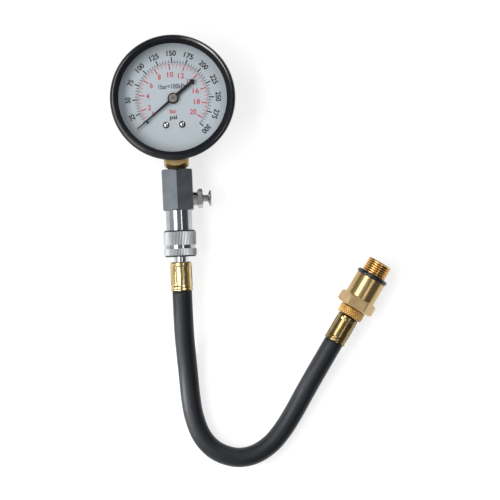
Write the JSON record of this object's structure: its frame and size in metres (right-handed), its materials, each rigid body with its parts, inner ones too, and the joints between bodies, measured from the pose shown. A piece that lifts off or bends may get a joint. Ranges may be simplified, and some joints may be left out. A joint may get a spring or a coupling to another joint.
{
  "type": "compression tester gauge",
  "caption": "Round dial pressure gauge with a quick coupler, release valve, short rubber hose and threaded brass spark plug adapter for testing engine compression.",
  "frame": {"origin": "on the flat back of the gauge case, on the dial's axis", "axes": "+Z out of the dial, the stem, coupler and hose leave along -Y, the release valve points along +X"},
  "size_m": [0.145, 0.231, 0.03],
  "materials": {
    "bezel_black": "gloss black enamel",
    "case_black": "satin black enamel",
    "lens_clear": "clear",
    "seal_rubber": "matt",
    "dial_face": "satin pale blue-grey print",
    "pointer_black": "satin black",
    "hub_metal": "polished, pale",
    "steel": "bright",
    "movement_brass": "satin",
    "tube_bronze": "satin",
    "socket_brass": "milled",
    "coupler_grey": "matt, fine grain",
    "sleeve_bright": "bright ridges",
    "valve_nickel": "nickel plated",
    "plug_chrome": "bright plated",
    "ferrule_brass": "bright, crimped",
    "fitting_brass": "knurled",
    "adapter_brass": "turned",
    "hose_rubber": "satin"
  },
  "bodies": {
    "gauge_body": {"case": "case_black", "case_screws": "steel", "bezel": "bezel_black", "lens": "lens_clear", "lens_gasket": "seal_rubber", "dial": "dial_face", "dial_screws": "steel", "stop_pin": "pointer_black", "hairspring": "movement_brass", "hairspring_stud": "steel", "bourdon_tube": "tube_bronze", "socket": "socket_brass", "movement_back_plate": "movement_brass", "movement_front_plate": "movement_brass", "movement_pillars": "movement_brass", "plate_screws": "steel", "movement_screws": "steel", "coupler_body": "coupler_grey", "coupler_seal": "seal_rubber", "locking_balls": "steel", "sleeve_spring": "steel", "sleeve_ring": "steel", "valve_body": "valve_nickel", "valve_spring": "steel"},
    "pointer_body": {"pointer": "pointer_black", "pointer_hub": "hub_metal", "pinion_arbor": "steel"},
    "sector_body": {"sector_gear": "movement_brass", "sector_arbor": "steel", "sector_pin": "steel"},
    "link_body": {"link": "movement_brass"},
    "tip_body": {"bourdon_tip": "socket_brass", "tip_pin": "steel"},
    "button_body": {"valve_plunger": "valve_nickel", "valve_seal": "seal_rubber"},
    "sleeve_body": {"coupler_sleeve": "sleeve_bright"},
    "hose_body": {"hose_plug": "plug_chrome", "upper_ferrule": "ferrule_brass", "hose": "hose_rubber", "lower_ferrule": "ferrule_brass", "hose_end_fitting": "fitting_brass", "fitting_seal": "seal_rubber", "adapter": "adapter_brass", "adapter_oring": "seal_rubber", "check_valve_body": "fitting_brass", "check_valve_spring": "steel"},
    "check_body": {"check_valve_pin": "steel", "check_valve_seal": "seal_rubber"}
  },
  "joints": [
    {"name": "tip_travel", "type": "slide", "parent": "gauge_body", "child": "tip_body", "axis": [1, 0, 0], "range_m": [0, 0.0034], "stiffness_N_per_m": 20, "deforming": ["hairspring", "bourdon_tube"]},
    {"name": "pointer_turn", "type": "hinge", "parent": "gauge_body", "child": "pointer_body", "pos_m": [0, 0, 0.0229], "axis": [0, 0, -1], "range_deg": [0, 263]},
    {"name": "sector_swing", "type": "hinge", "parent": "gauge_body", "child": "sector_body", "pos_m": [0, -0.0135, 0.013], "axis": [0, 0, 1], "range_deg": [0, 33]},
    {"name": "link_pivot", "type": "hinge", "parent": "sector_body", "child": "link_body", "pos_m": [-0.0017, -0.01926, 0.014], "axis": [0, 0, -1], "range_deg": [0, 33]},
    {"name": "button_press", "type": "slide", "parent": "gauge_body", "child": "button_body", "axis": [-1, 0, 0], "range_m": [0, 0.0015], "stiffness_N_per_m": 500, "deforming": ["valve_spring"]},
    {"name": "sleeve_slide", "type": "slide", "parent": "gauge_body", "child": "sleeve_body", "axis": [0, 1, 0], "range_m": [0, 0.0028], "stiffness_N_per_m": 800, "deforming": ["sleeve_spring"]},
    {"name": "hose_swivel", "type": "hinge", "parent": "gauge_body", "child": "hose_body", "pos_m": [0, -0.075, 0.012], "axis": [0, -1, 0], "continuous": true},
    {"name": "check_valve_open", "type": "slide", "parent": "hose_body", "child": "check_body", "axis": [-0.5446, -0.8387, 0], "range_m": [0, 0.0012], "stiffness_N_per_m": 60, "deforming": ["check_valve_spring"]}
  ],
  "couplings": [
    {"joint": "pointer_turn", "follows": "tip_travel", "rad_per_m": 1351.8},
    {"joint": "sector_swing", "follows": "tip_travel", "rad_per_m": 168.98},
    {"joint": "link_pivot", "follows": "tip_travel", "rad_per_m": 168.98}
  ]
}
